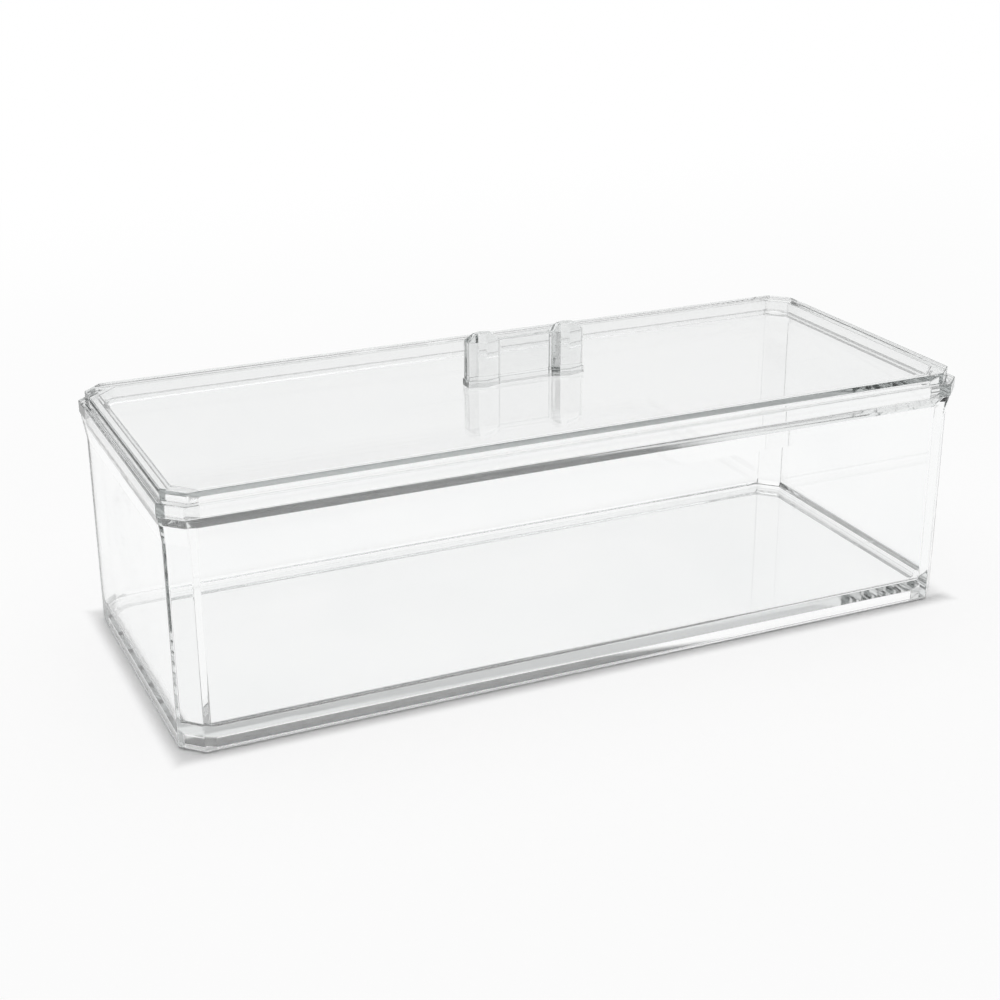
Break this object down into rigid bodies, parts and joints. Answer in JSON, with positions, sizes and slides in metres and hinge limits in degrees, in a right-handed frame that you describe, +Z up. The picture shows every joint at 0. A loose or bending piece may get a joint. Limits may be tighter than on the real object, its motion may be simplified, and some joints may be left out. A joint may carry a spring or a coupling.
{
  "type": "storage box with lid",
  "caption": "Long rectangular clear plastic storage box with cut corners, a flared rim and a stepped lift-off lid that carries a small pull handle.",
  "frame": {"origin": "centre of the footprint, on the surface that the box stands on", "axes": "+X along the box's long side, +Y from the front long side to the back one, +Z up through the lid and its handle"},
  "size_m": [0.24, 0.0988, 0.0876],
  "materials": {
    "clear_body": "polished clear moulded acrylic",
    "clear_lid": "polished clear moulded acrylic",
    "clear_handle": "polished clear moulded acrylic"
  },
  "bodies": {
    "box": {"box_body": "clear_body"},
    "cover": {"lid": "clear_lid", "handle": "clear_handle"}
  },
  "joints": [
    {"name": "lid_lift", "type": "slide", "parent": "box", "child": "cover", "axis": [0, 0, 1], "range_m": [0, 0.09]}
  ]
}
